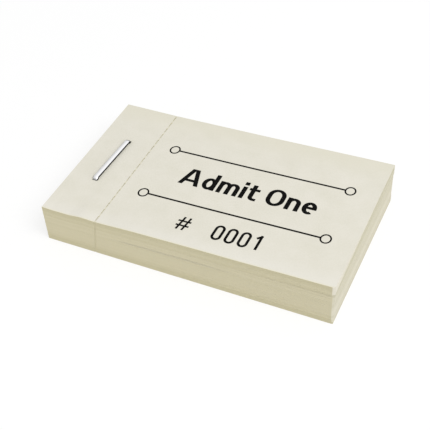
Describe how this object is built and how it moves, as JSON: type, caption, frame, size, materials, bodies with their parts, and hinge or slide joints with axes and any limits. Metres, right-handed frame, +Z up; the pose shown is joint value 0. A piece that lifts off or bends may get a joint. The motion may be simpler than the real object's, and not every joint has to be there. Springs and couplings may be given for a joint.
{
  "type": "ticket book",
  "caption": "Small stapled book of perforated tickets: each leaf is a stub and a tear-off ticket, and the tickets fan, fold over and pull off at the perforation.",
  "frame": {"origin": "middle of the footprint, on the surface that the book lies on", "axes": "+X from the stapled stub end to the free end, +Y to the back, +Z up through the leaves"},
  "size_m": [0.0584, 0.035, 0.0093],
  "materials": {
    "ticket_paper": "matte",
    "staple_wire": "satin"
  },
  "bodies": {
    "stub_block": {"stubs": "ticket_paper", "staple": "staple_wire"},
    "ticket_01": {"ticket_01": "ticket_paper"},
    "ticket_02": {"ticket_02": "ticket_paper"},
    "ticket_03": {"ticket_03": "ticket_paper"},
    "ticket_04": {"ticket_04": "ticket_paper"},
    "ticket_05": {"ticket_05": "ticket_paper"},
    "ticket_06": {"ticket_06": "ticket_paper"},
    "ticket_07": {"ticket_07": "ticket_paper"},
    "ticket_08": {"ticket_08": "ticket_paper"},
    "ticket_09": {"ticket_09": "ticket_paper"},
    "ticket_10": {"ticket_10": "ticket_paper"},
    "ticket_11": {"ticket_11": "ticket_paper"},
    "ticket_12": {"ticket_12": "ticket_paper"},
    "ticket_13": {"ticket_13": "ticket_paper"},
    "ticket_14": {"ticket_14": "ticket_paper"},
    "ticket_15": {"ticket_15": "ticket_paper"},
    "ticket_16": {"ticket_16": "ticket_paper"},
    "ticket_17": {"ticket_17": "ticket_paper"},
    "ticket_18": {"ticket_18": "ticket_paper"},
    "ticket_19": {"ticket_19": "ticket_paper"},
    "ticket_20": {"ticket_20": "ticket_paper"},
    "ticket_21": {"ticket_21": "ticket_paper"},
    "ticket_22": {"ticket_22": "ticket_paper"},
    "ticket_23": {"ticket_23": "ticket_paper"},
    "ticket_24": {"ticket_24": "ticket_paper"},
    "ticket_25": {"ticket_25": "ticket_paper"},
    "ticket_26": {"ticket_26": "ticket_paper"},
    "ticket_27": {"ticket_27": "ticket_paper"},
    "ticket_28": {"ticket_28": "ticket_paper"},
    "ticket_29": {"ticket_29": "ticket_paper"},
    "ticket_30": {"ticket_30": "ticket_paper"},
    "ticket_31": {"ticket_31": "ticket_paper"},
    "ticket_32": {"ticket_32": "ticket_paper"},
    "ticket_33": {"ticket_33": "ticket_paper"},
    "ticket_34": {"ticket_34": "ticket_paper"},
    "ticket_35": {"ticket_35": "ticket_paper"},
    "ticket_36": {"ticket_36": "ticket_paper"},
    "ticket_37": {"ticket_37": "ticket_paper"},
    "ticket_38": {"ticket_38": "ticket_paper"},
    "ticket_39": {"ticket_39": "ticket_paper"},
    "ticket_40": {"ticket_40": "ticket_paper"},
    "ticket_41": {"ticket_41": "ticket_paper"},
    "ticket_42": {"ticket_42": "ticket_paper"},
    "ticket_43": {"ticket_43": "ticket_paper"},
    "ticket_44": {"ticket_44": "ticket_paper"},
    "ticket_45": {"ticket_45": "ticket_paper"},
    "ticket_46": {"ticket_46": "ticket_paper"},
    "ticket_47": {"ticket_47": "ticket_paper"},
    "ticket_48": {"ticket_48": "ticket_paper"},
    "ticket_49": {"ticket_49": "ticket_paper"},
    "ticket_50": {"ticket_50": "ticket_paper"}
  },
  "joints": [
    {"name": "tear_ticket_01", "type": "slide", "parent": "ticket_02", "child": "ticket_01", "axis": [0.9997, 0, 0.0255], "range_m": [0, 0.05]},
    {"name": "fold_ticket_02", "type": "hinge", "parent": "ticket_03", "child": "ticket_02", "pos_m": [-0.01775, 0, 0.00815], "axis": [0, -1, 0], "range_deg": [0, 105]},
    {"name": "fan_ticket_03", "type": "hinge", "parent": "stub_block", "child": "ticket_03", "pos_m": [-0.01775, 0, 0.00815], "axis": [0, -1, 0], "range_deg": [0, 60]},
    {"name": "fan_ticket_04", "type": "hinge", "parent": "stub_block", "child": "ticket_04", "pos_m": [-0.01775, 0, 0.00815], "axis": [0, -1, 0], "range_deg": [0, 58.76]},
    {"name": "fan_ticket_05", "type": "hinge", "parent": "stub_block", "child": "ticket_05", "pos_m": [-0.01775, 0, 0.00815], "axis": [0, -1, 0], "range_deg": [0, 57.51]},
    {"name": "fan_ticket_06", "type": "hinge", "parent": "stub_block", "child": "ticket_06", "pos_m": [-0.01775, 0, 0.00815], "axis": [0, -1, 0], "range_deg": [0, 56.26]},
    {"name": "fan_ticket_07", "type": "hinge", "parent": "stub_block", "child": "ticket_07", "pos_m": [-0.01775, 0, 0.00815], "axis": [0, -1, 0], "range_deg": [0, 55.01]},
    {"name": "fan_ticket_08", "type": "hinge", "parent": "stub_block", "child": "ticket_08", "pos_m": [-0.01775, 0, 0.00815], "axis": [0, -1, 0], "range_deg": [0, 53.76]},
    {"name": "fan_ticket_09", "type": "hinge", "parent": "stub_block", "child": "ticket_09", "pos_m": [-0.01775, 0, 0.00815], "axis": [0, -1, 0], "range_deg": [0, 52.51]},
    {"name": "fan_ticket_10", "type": "hinge", "parent": "stub_block", "child": "ticket_10", "pos_m": [-0.01775, 0, 0.00815], "axis": [0, -1, 0], "range_deg": [0, 51.26]},
    {"name": "fan_ticket_11", "type": "hinge", "parent": "stub_block", "child": "ticket_11", "pos_m": [-0.01775, 0, 0.00815], "axis": [0, -1, 0], "range_deg": [0, 50.01]},
    {"name": "fan_ticket_12", "type": "hinge", "parent": "stub_block", "child": "ticket_12", "pos_m": [-0.01775, 0, 0.00815], "axis": [0, -1, 0], "range_deg": [0, 48.76]},
    {"name": "fan_ticket_13", "type": "hinge", "parent": "stub_block", "child": "ticket_13", "pos_m": [-0.01775, 0, 0.00815], "axis": [0, -1, 0], "range_deg": [0, 47.51]},
    {"name": "fan_ticket_14", "type": "hinge", "parent": "stub_block", "child": "ticket_14", "pos_m": [-0.01775, 0, 0.00815], "axis": [0, -1, 0], "range_deg": [0, 46.26]},
    {"name": "fan_ticket_15", "type": "hinge", "parent": "stub_block", "child": "ticket_15", "pos_m": [-0.01775, 0, 0.00815], "axis": [0, -1, 0], "range_deg": [0, 45.01]},
    {"name": "fan_ticket_16", "type": "hinge", "parent": "stub_block", "child": "ticket_16", "pos_m": [-0.01775, 0, 0.00815], "axis": [0, -1, 0], "range_deg": [0, 43.76]},
    {"name": "fan_ticket_17", "type": "hinge", "parent": "stub_block", "child": "ticket_17", "pos_m": [-0.01775, 0, 0.00815], "axis": [0, -1, 0], "range_deg": [0, 42.51]},
    {"name": "fan_ticket_18", "type": "hinge", "parent": "stub_block", "child": "ticket_18", "pos_m": [-0.01775, 0, 0.00815], "axis": [0, -1, 0], "range_deg": [0, 41.26]},
    {"name": "fan_ticket_19", "type": "hinge", "parent": "stub_block", "child": "ticket_19", "pos_m": [-0.01775, 0, 0.00815], "axis": [0, -1, 0], "range_deg": [0, 40.01]},
    {"name": "fan_ticket_20", "type": "hinge", "parent": "stub_block", "child": "ticket_20", "pos_m": [-0.01775, 0, 0.00815], "axis": [0, -1, 0], "range_deg": [0, 38.76]},
    {"name": "fan_ticket_21", "type": "hinge", "parent": "stub_block", "child": "ticket_21", "pos_m": [-0.01775, 0, 0.00815], "axis": [0, -1, 0], "range_deg": [0, 37.51]},
    {"name": "fan_ticket_22", "type": "hinge", "parent": "stub_block", "child": "ticket_22", "pos_m": [-0.01775, 0, 0.00815], "axis": [0, -1, 0], "range_deg": [0, 36.26]},
    {"name": "fan_ticket_23", "type": "hinge", "parent": "stub_block", "child": "ticket_23", "pos_m": [-0.01775, 0, 0.00815], "axis": [0, -1, 0], "range_deg": [0, 35.01]},
    {"name": "fan_ticket_24", "type": "hinge", "parent": "stub_block", "child": "ticket_24", "pos_m": [-0.01775, 0, 0.00815], "axis": [0, -1, 0], "range_deg": [0, 33.76]},
    {"name": "fan_ticket_25", "type": "hinge", "parent": "stub_block", "child": "ticket_25", "pos_m": [-0.01775, 0, 0.00815], "axis": [0, -1, 0], "range_deg": [0, 32.51]},
    {"name": "fan_ticket_26", "type": "hinge", "parent": "stub_block", "child": "ticket_26", "pos_m": [-0.01775, 0, 0.00815], "axis": [0, -1, 0], "range_deg": [0, 31.26]},
    {"name": "fan_ticket_27", "type": "hinge", "parent": "stub_block", "child": "ticket_27", "pos_m": [-0.01775, 0, 0.00815], "axis": [0, -1, 0], "range_deg": [0, 30.01]},
    {"name": "fan_ticket_28", "type": "hinge", "parent": "stub_block", "child": "ticket_28", "pos_m": [-0.01775, 0, 0.00815], "axis": [0, -1, 0], "range_deg": [0, 28.76]},
    {"name": "fan_ticket_29", "type": "hinge", "parent": "stub_block", "child": "ticket_29", "pos_m": [-0.01775, 0, 0.00815], "axis": [0, -1, 0], "range_deg": [0, 27.51]},
    {"name": "fan_ticket_30", "type": "hinge", "parent": "stub_block", "child": "ticket_30", "pos_m": [-0.01775, 0, 0.00815], "axis": [0, -1, 0], "range_deg": [0, 26.26]},
    {"name": "fan_ticket_31", "type": "hinge", "parent": "stub_block", "child": "ticket_31", "pos_m": [-0.01775, 0, 0.00815], "axis": [0, -1, 0], "range_deg": [0, 25.01]},
    {"name": "fan_ticket_32", "type": "hinge", "parent": "stub_block", "child": "ticket_32", "pos_m": [-0.01775, 0, 0.00815], "axis": [0, -1, 0], "range_deg": [0, 23.76]},
    {"name": "fan_ticket_33", "type": "hinge", "parent": "stub_block", "child": "ticket_33", "pos_m": [-0.01775, 0, 0.00815], "axis": [0, -1, 0], "range_deg": [0, 22.51]},
    {"name": "fan_ticket_34", "type": "hinge", "parent": "stub_block", "child": "ticket_34", "pos_m": [-0.01775, 0, 0.00815], "axis": [0, -1, 0], "range_deg": [0, 21.26]},
    {"name": "fan_ticket_35", "type": "hinge", "parent": "stub_block", "child": "ticket_35", "pos_m": [-0.01775, 0, 0.00815], "axis": [0, -1, 0], "range_deg": [0, 20.01]},
    {"name": "fan_ticket_36", "type": "hinge", "parent": "stub_block", "child": "ticket_36", "pos_m": [-0.01775, 0, 0.00815], "axis": [0, -1, 0], "range_deg": [0, 18.76]},
    {"name": "fan_ticket_37", "type": "hinge", "parent": "stub_block", "child": "ticket_37", "pos_m": [-0.01775, 0, 0.00815], "axis": [0, -1, 0], "range_deg": [0, 17.51]},
    {"name": "fan_ticket_38", "type": "hinge", "parent": "stub_block", "child": "ticket_38", "pos_m": [-0.01775, 0, 0.00815], "axis": [0, -1, 0], "range_deg": [0, 16.26]},
    {"name": "fan_ticket_39", "type": "hinge", "parent": "stub_block", "child": "ticket_39", "pos_m": [-0.01775, 0, 0.00815], "axis": [0, -1, 0], "range_deg": [0, 15.01]},
    {"name": "fan_ticket_40", "type": "hinge", "parent": "stub_block", "child": "ticket_40", "pos_m": [-0.01775, 0, 0.00815], "axis": [0, -1, 0], "range_deg": [0, 13.76]},
    {"name": "fan_ticket_41", "type": "hinge", "parent": "stub_block", "child": "ticket_41", "pos_m": [-0.01775, 0, 0.00815], "axis": [0, -1, 0], "range_deg": [0, 12.51]},
    {"name": "fan_ticket_42", "type": "hinge", "parent": "stub_block", "child": "ticket_42", "pos_m": [-0.01775, 0, 0.00815], "axis": [0, -1, 0], "range_deg": [0, 11.26]},
    {"name": "fan_ticket_43", "type": "hinge", "parent": "stub_block", "child": "ticket_43", "pos_m": [-0.01775, 0, 0.00815], "axis": [0, -1, 0], "range_deg": [0, 10.01]},
    {"name": "fan_ticket_44", "type": "hinge", "parent": "stub_block", "child": "ticket_44", "pos_m": [-0.01775, 0, 0.00815], "axis": [0, -1, 0], "range_deg": [0, 8.76]},
    {"name": "fan_ticket_45", "type": "hinge", "parent": "stub_block", "child": "ticket_45", "pos_m": [-0.01775, 0, 0.00815], "axis": [0, -1, 0], "range_deg": [0, 7.51]},
    {"name": "fan_ticket_46", "type": "hinge", "parent": "stub_block", "child": "ticket_46", "pos_m": [-0.01775, 0, 0.00815], "axis": [0, -1, 0], "range_deg": [0, 6.26]},
    {"name": "fan_ticket_47", "type": "hinge", "parent": "stub_block", "child": "ticket_47", "pos_m": [-0.01775, 0, 0.00815], "axis": [0, -1, 0], "range_deg": [0, 5.01]},
    {"name": "fan_ticket_48", "type": "hinge", "parent": "stub_block", "child": "ticket_48", "pos_m": [-0.01775, 0, 0.00815], "axis": [0, -1, 0], "range_deg": [0, 3.76]},
    {"name": "fan_ticket_49", "type": "hinge", "parent": "stub_block", "child": "ticket_49", "pos_m": [-0.01775, 0, 0.00815], "axis": [0, -1, 0], "range_deg": [0, 2.51]},
    {"name": "fan_ticket_50", "type": "hinge", "parent": "stub_block", "child": "ticket_50", "pos_m": [-0.01775, 0, 0.00815], "axis": [0, -1, 0], "range_deg": [0, 1.26]}
  ],
  "couplings": [
    {"joint": "fan_ticket_04", "follows": "fan_ticket_03", "ratio": 0.97917},
    {"joint": "fan_ticket_05", "follows": "fan_ticket_03", "ratio": 0.95833},
    {"joint": "fan_ticket_06", "follows": "fan_ticket_03", "ratio": 0.9375},
    {"joint": "fan_ticket_07", "follows": "fan_ticket_03", "ratio": 0.91667},
    {"joint": "fan_ticket_08", "follows": "fan_ticket_03", "ratio": 0.89583},
    {"joint": "fan_ticket_09", "follows": "fan_ticket_03", "ratio": 0.875},
    {"joint": "fan_ticket_10", "follows": "fan_ticket_03", "ratio": 0.85417},
    {"joint": "fan_ticket_11", "follows": "fan_ticket_03", "ratio": 0.83333},
    {"joint": "fan_ticket_12", "follows": "fan_ticket_03", "ratio": 0.8125},
    {"joint": "fan_ticket_13", "follows": "fan_ticket_03", "ratio": 0.79167},
    {"joint": "fan_ticket_14", "follows": "fan_ticket_03", "ratio": 0.77083},
    {"joint": "fan_ticket_15", "follows": "fan_ticket_03", "ratio": 0.75},
    {"joint": "fan_ticket_16", "follows": "fan_ticket_03", "ratio": 0.72917},
    {"joint": "fan_ticket_17", "follows": "fan_ticket_03", "ratio": 0.70833},
    {"joint": "fan_ticket_18", "follows": "fan_ticket_03", "ratio": 0.6875},
    {"joint": "fan_ticket_19", "follows": "fan_ticket_03", "ratio": 0.66667},
    {"joint": "fan_ticket_20", "follows": "fan_ticket_03", "ratio": 0.64583},
    {"joint": "fan_ticket_21", "follows": "fan_ticket_03", "ratio": 0.625},
    {"joint": "fan_ticket_22", "follows": "fan_ticket_03", "ratio": 0.60417},
    {"joint": "fan_ticket_23", "follows": "fan_ticket_03", "ratio": 0.58333},
    {"joint": "fan_ticket_24", "follows": "fan_ticket_03", "ratio": 0.5625},
    {"joint": "fan_ticket_25", "follows": "fan_ticket_03", "ratio": 0.54167},
    {"joint": "fan_ticket_26", "follows": "fan_ticket_03", "ratio": 0.52083},
    {"joint": "fan_ticket_27", "follows": "fan_ticket_03", "ratio": 0.5},
    {"joint": "fan_ticket_28", "follows": "fan_ticket_03", "ratio": 0.47917},
    {"joint": "fan_ticket_29", "follows": "fan_ticket_03", "ratio": 0.45833},
    {"joint": "fan_ticket_30", "follows": "fan_ticket_03", "ratio": 0.4375},
    {"joint": "fan_ticket_31", "follows": "fan_ticket_03", "ratio": 0.41667},
    {"joint": "fan_ticket_32", "follows": "fan_ticket_03", "ratio": 0.39583},
    {"joint": "fan_ticket_33", "follows": "fan_ticket_03", "ratio": 0.375},
    {"joint": "fan_ticket_34", "follows": "fan_ticket_03", "ratio": 0.35417},
    {"joint": "fan_ticket_35", "follows": "fan_ticket_03", "ratio": 0.33333},
    {"joint": "fan_ticket_36", "follows": "fan_ticket_03", "ratio": 0.3125},
    {"joint": "fan_ticket_37", "follows": "fan_ticket_03", "ratio": 0.29167},
    {"joint": "fan_ticket_38", "follows": "fan_ticket_03", "ratio": 0.27083},
    {"joint": "fan_ticket_39", "follows": "fan_ticket_03", "ratio": 0.25},
    {"joint": "fan_ticket_40", "follows": "fan_ticket_03", "ratio": 0.22917},
    {"joint": "fan_ticket_41", "follows": "fan_ticket_03", "ratio": 0.20833},
    {"joint": "fan_ticket_42", "follows": "fan_ticket_03", "ratio": 0.1875},
    {"joint": "fan_ticket_43", "follows": "fan_ticket_03", "ratio": 0.16667},
    {"joint": "fan_ticket_44", "follows": "fan_ticket_03", "ratio": 0.14583},
    {"joint": "fan_ticket_45", "follows": "fan_ticket_03", "ratio": 0.125},
    {"joint": "fan_ticket_46", "follows": "fan_ticket_03", "ratio": 0.10417},
    {"joint": "fan_ticket_47", "follows": "fan_ticket_03", "ratio": 0.083333},
    {"joint": "fan_ticket_48", "follows": "fan_ticket_03", "ratio": 0.0625},
    {"joint": "fan_ticket_49", "follows": "fan_ticket_03", "ratio": 0.041667},
    {"joint": "fan_ticket_50", "follows": "fan_ticket_03", "ratio": 0.020833}
  ]
}
